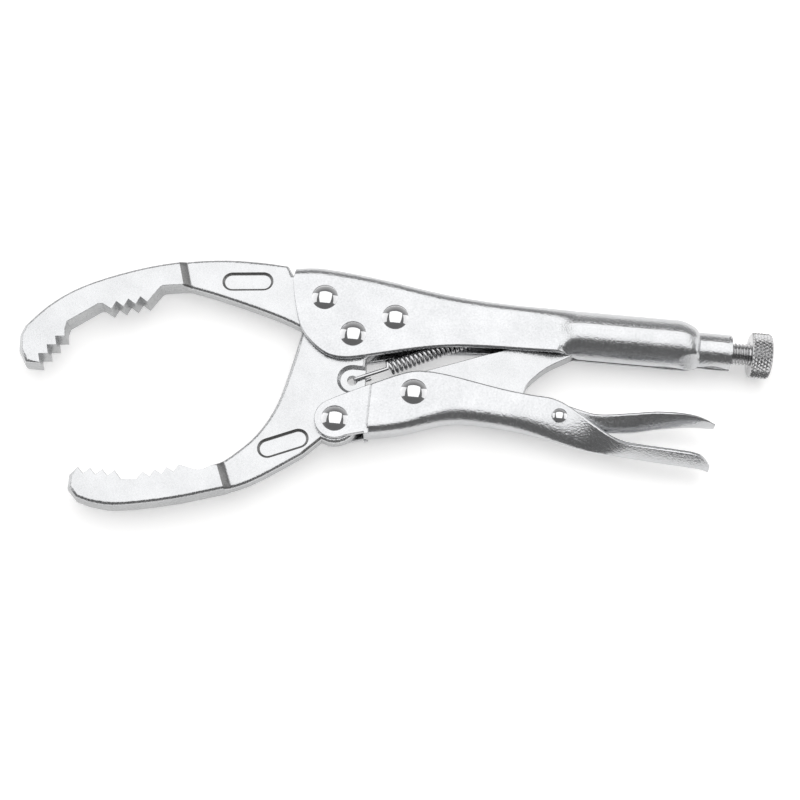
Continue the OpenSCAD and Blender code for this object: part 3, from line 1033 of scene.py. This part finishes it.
# ---------------------------------------------------------------- stage, light and camera

VIEW_TURN = math.radians(5.55)
VIEW_HEIGHT = math.radians(69.4)
VIEW_DISTANCE = 571.0
VIEW_TARGET = np.array([3.6, -0.7, 12.0])


def camera():
    """Camera at the product view's angle, with a 72 mm lens."""
    data = bpy.data.cameras.new("camera")
    data.lens = 72
    data.sensor_width = 36
    data.clip_start = 0.01
    obj = bpy.data.objects.new("camera", data)
    bpy.context.scene.collection.objects.link(obj)
    away = np.array([-math.sin(VIEW_TURN), math.cos(VIEW_TURN), 0])
    back = np.array([0, 0, 1]) * math.sin(VIEW_HEIGHT) - away * math.cos(VIEW_HEIGHT)
    obj.location = Vector((VIEW_TARGET + VIEW_DISTANCE * back) * MM)
    aim(obj, VIEW_TARGET * MM, away)
    bpy.context.scene.camera = obj


def aim(obj, target, up):
    """Turns an object so that its -Z axis points at target and its Y axis follows up."""
    back = (obj.location - Vector(target)).normalized()
    right = Vector(up).cross(back).normalized()
    turn = Matrix((right, back.cross(right), back)).transposed()
    obj.rotation_euler = turn.to_euler()


def panel(name, direction, distance, width, height, radiance):
    """A soft panel light of an even radiance, aimed at the middle of the tool."""
    data = bpy.data.lights.new(name, "AREA")
    data.shape = "RECTANGLE"
    data.size = width
    data.size_y = height
    data.energy = radiance * math.pi * width * height
    obj = bpy.data.objects.new(name, data)
    bpy.context.scene.collection.objects.link(obj)
    middle = (cad_low + cad_high) / 2
    obj.location = middle + Vector(direction).normalized() * distance
    aim(obj, middle, (0, 1, 0.01) if abs(direction[0]) < 0.5 else (0, 0, 1))


def world():
    """Grey surroundings: dark high up, lighter near the horizon, and lightest behind the tool."""
    scene_world = bpy.data.worlds.new("studio")
    bpy.context.scene.world = scene_world
    scene_world.use_nodes = True
    tree = scene_world.node_tree
    where = tree.nodes.new("ShaderNodeTexCoord").outputs["Generated"]
    split = tree.nodes.new("ShaderNodeSeparateXYZ")
    tree.links.new(where, split.inputs[0])

    def graded(axis, low, high, from_value, to_value):
        node = tree.nodes.new("ShaderNodeMapRange")
        node.inputs["From Min"].default_value = low
        node.inputs["From Max"].default_value = high
        for name, value in (("To Min", from_value), ("To Max", to_value)):
            if isinstance(value, float):
                node.inputs[name].default_value = value
            else:
                tree.links.new(value, node.inputs[name])
        tree.links.new(split.outputs[axis], node.inputs["Value"])
        return node.outputs["Result"]

    high_up = graded("Y", -0.6, 0.6, 0.18, 0.26)
    horizon = graded("Y", -0.6, 0.6, 0.24, 0.62)
    tree.links.new(graded("Z", 0.1, 0.55, horizon, high_up), tree.nodes["Background"].inputs["Strength"])
    tree.nodes["Background"].inputs["Color"].default_value = (1, 1, 1, 1)


def floor():
    """A plain pale floor."""
    bm = bmesh.new()
    reach = 15000
    bm.faces.new([bm.verts.new((x, y, 0)) for x, y in
                  ((-reach, -reach), (reach, -reach), (reach, reach), (-reach, reach))])
    obj = new_object("studio_floor", bm)
    obj.location.z = cad_low.z - 0.0001
    material = bpy.data.materials.new("studio_floor_white")
    material.use_nodes = True
    shader = material.node_tree.nodes["Principled BSDF"]
    shader.inputs["Base Color"].default_value = (0.95, 0.945, 0.94, 1)
    shader.inputs["Roughness"].default_value = 0.9
    shader.inputs["Specular IOR Level"].default_value = 0.0
    shader.inputs["Emission Color"].default_value = (1, 1, 1, 1)
    shader.inputs["Emission Strength"].default_value = 0.36
    obj.data.materials.append(material)


RIVETS = {
    "fixed_jaw_front_rivet": ("fixed_handle", 2.0),
    "fixed_jaw_rear_rivet": ("fixed_handle", 2.0),
    "jaw_pivot_rivet": ("fixed_handle", 2.0),
    "handle_pivot_rivet": ("lower_handle", 2.0),
    "link_pivot_rivet": ("lower_handle", 2.0),
    "lever_pivot_rivet": ("lower_handle", 1.2),
}

camera()
world()
floor()
panel("overhead_softbox", (0, 0.24, 0.97), 1.0, 1.4, 1.4, 1.42)
panel("left_panel", (-0.89, 0.2, 0.36), 1.0, 0.85, 0.7, 1.0)
panel("right_panel", (0.89, 0.2, 0.36), 1.0, 0.85, 0.7, 1.0)

finishes = make_materials()
jaw("fixed_jaw", "fixed_handle", finishes)
jaw("moving_jaw", "moving_jaw", finishes, [lug_relief])
toggle_link(finishes)
fixed_handle(finishes["sheet"])
lower_handle(finishes["sheet"])
release_lever(finishes["sheet"])
for rivet_node, (rivet_body, head_height) in RIVETS.items():
    rivet(rivet_node, rivet_body, finishes["polished"], head_height)
adjusting_screw(finishes["bright"])
adjusting_knob(finishes["bright"])
spring(finishes["wire"])

bpy.context.scene.view_settings.view_transform = "Standard"
